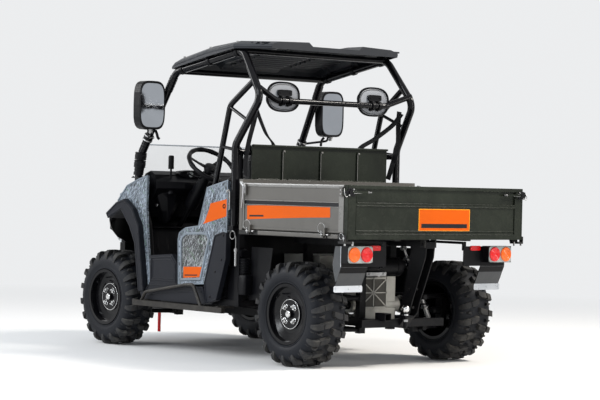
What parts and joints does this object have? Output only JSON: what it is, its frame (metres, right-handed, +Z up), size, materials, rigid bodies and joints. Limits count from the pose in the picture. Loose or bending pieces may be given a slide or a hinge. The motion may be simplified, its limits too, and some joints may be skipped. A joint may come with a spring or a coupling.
{
  "type": "side by side utility vehicle",
  "caption": "Open side by side utility vehicle with a tube cage, moulded roof, bench of seats and a tipping drop-side cargo bed.",
  "frame": {"origin": "on the ground, in the middle of the length and of the width", "axes": "+X forward, +Y to the left, +Z up"},
  "size_m": [3.05, 1.8, 2.081],
  "materials": {
    "tyre_rubber": "matte rubber with dust in the tread",
    "black_rim": "gloss black steel rims",
    "black_steel": "gloss black tube and frame paint",
    "frame_paint": "satin black frame paint",
    "bed_paint": "satin warm grey board paint",
    "dark_panel": "dark green-grey sheet metal",
    "body_plastic": "moulded panels with a streaky grey, blue and white pattern",
    "dark_plastic": "charcoal moulded plastic",
    "seat_vinyl": "black vinyl",
    "grey_shell": "silver-grey moulded plates",
    "lens_red": "amber and red lamp lenses",
    "clear_screen": "clear polycarbonate",
    "cast_grey": "cast aluminium housings",
    "bare_steel": "bare and plated steel",
    "step_metal": "brownish worn paint",
    "red_web": "woven red webbing",
    "mirror_case": "black cases with a mirror face to the rear"
  },
  "bodies": {
    "chassis": {"rear_hub_carriers": "bare_steel", "front_suspension_arms": "frame_paint", "rear_suspension_arms": "frame_paint", "dampers": "frame_paint", "drive_shafts": "bare_steel", "frame_rails": "frame_paint", "upper_frame": "frame_paint", "side_frames": "frame_paint", "frame_crossmembers": "frame_paint", "cage_left": "black_steel", "cage_right": "black_steel", "cage_crossbars": "black_steel", "roof": "dark_plastic", "cab_rear_panel": "dark_panel", "front_quarter_panels": "body_plastic", "front_fender_flares": "dark_plastic", "seat_side_panels": "body_plastic", "lower_side_covers": "dark_plastic", "front_wheel_arches": "dark_plastic", "floor_pan": "dark_plastic", "dashboard": "dark_plastic", "hood": "body_plastic", "nose_panel": "dark_plastic", "windscreen": "clear_screen", "seat_base": "dark_plastic", "seats": "seat_vinyl", "headrest_shells": "grey_shell", "headrest_pads": "seat_vinyl", "mirrors": "mirror_case", "steering_gear": "bare_steel", "shift_lever": "black_steel", "engine_block": "cast_grey", "axle_gearboxes": "cast_grey", "muffler": "bare_steel", "air_intake": "dark_plastic", "rear_guards": "dark_plastic", "tail_lamps": "lens_red", "hitch": "frame_paint", "side_steps": "step_metal", "front_bumper": "black_steel", "headlamps": "clear_screen", "pull_strap": "red_web", "splash_panels": "dark_plastic"},
    "left_knuckle": {"front_left_knuckle": "bare_steel"},
    "right_knuckle": {"front_right_knuckle": "bare_steel"},
    "front_left_wheel": {"front_left_tyre": "tyre_rubber", "front_left_rim": "black_rim"},
    "front_right_wheel": {"front_right_tyre": "tyre_rubber", "front_right_rim": "black_rim"},
    "rear_left_wheel": {"rear_left_tyre": "tyre_rubber", "rear_left_rim": "black_rim"},
    "rear_right_wheel": {"rear_right_tyre": "tyre_rubber", "rear_right_rim": "black_rim"},
    "steering_wheel": {"steering_wheel": "dark_plastic"},
    "rack": {"steering_rack": "bare_steel"},
    "bed": {"bed_floor": "frame_paint", "bed_front_wall": "bed_paint"},
    "left_board": {"left_side_board": "bed_paint"},
    "right_board": {"right_side_board": "bed_paint"},
    "tailgate": {"tailgate": "dark_panel"}
  },
  "joints": [
    {"name": "front_left_steer", "type": "hinge", "parent": "chassis", "child": "left_knuckle", "pos_m": [1.06, 0.6, 0.33], "axis": [0, 0, 1], "range_deg": [-28, 28]},
    {"name": "front_right_steer", "type": "hinge", "parent": "chassis", "child": "right_knuckle", "pos_m": [1.06, -0.6, 0.33], "axis": [0, 0, 1], "range_deg": [-28, 28]},
    {"name": "steering_wheel_turn", "type": "hinge", "parent": "chassis", "child": "steering_wheel", "pos_m": [0.39, 0.35, 1.26], "axis": [-0.6428, 0, 0.766], "range_deg": [-260, 260]},
    {"name": "steering_rack_slide", "type": "slide", "parent": "chassis", "child": "rack", "axis": [0, -1, 0], "range_m": [-0.045, 0.045]},
    {"name": "front_left_spin", "type": "hinge", "parent": "left_knuckle", "child": "front_left_wheel", "pos_m": [1.06, 0.645, 0.33], "axis": [0, 1, 0], "continuous": true},
    {"name": "front_right_spin", "type": "hinge", "parent": "right_knuckle", "child": "front_right_wheel", "pos_m": [1.06, -0.645, 0.33], "axis": [0, 1, 0], "continuous": true},
    {"name": "rear_left_spin", "type": "hinge", "parent": "chassis", "child": "rear_left_wheel", "pos_m": [-0.94, 0.625, 0.33], "axis": [0, 1, 0], "continuous": true},
    {"name": "rear_right_spin", "type": "hinge", "parent": "chassis", "child": "rear_right_wheel", "pos_m": [-0.94, -0.625, 0.33], "axis": [0, 1, 0], "continuous": true},
    {"name": "bed_tilt", "type": "hinge", "parent": "chassis", "child": "bed", "pos_m": [-1.425, 0, 0.78], "axis": [0, -1, 0], "range_deg": [0, 40]},
    {"name": "tailgate_hinge", "type": "hinge", "parent": "bed", "child": "tailgate", "pos_m": [-1.493, 0, 0.822], "axis": [0, -1, 0], "range_deg": [0, 90]},
    {"name": "left_board_hinge", "type": "hinge", "parent": "bed", "child": "left_board", "pos_m": [-0.94, 0.757, 0.838], "axis": [-1, 0, 0], "range_deg": [0, 90]},
    {"name": "right_board_hinge", "type": "hinge", "parent": "bed", "child": "right_board", "pos_m": [-0.94, -0.757, 0.838], "axis": [1, 0, 0], "range_deg": [0, 90]}
  ],
  "couplings": [
    {"joint": "front_right_steer", "follows": "front_left_steer", "ratio": 1},
    {"joint": "steering_wheel_turn", "follows": "front_left_steer", "ratio": 9},
    {"joint": "steering_rack_slide", "follows": "front_left_steer", "m_per_rad": 0.0865}
  ]
}
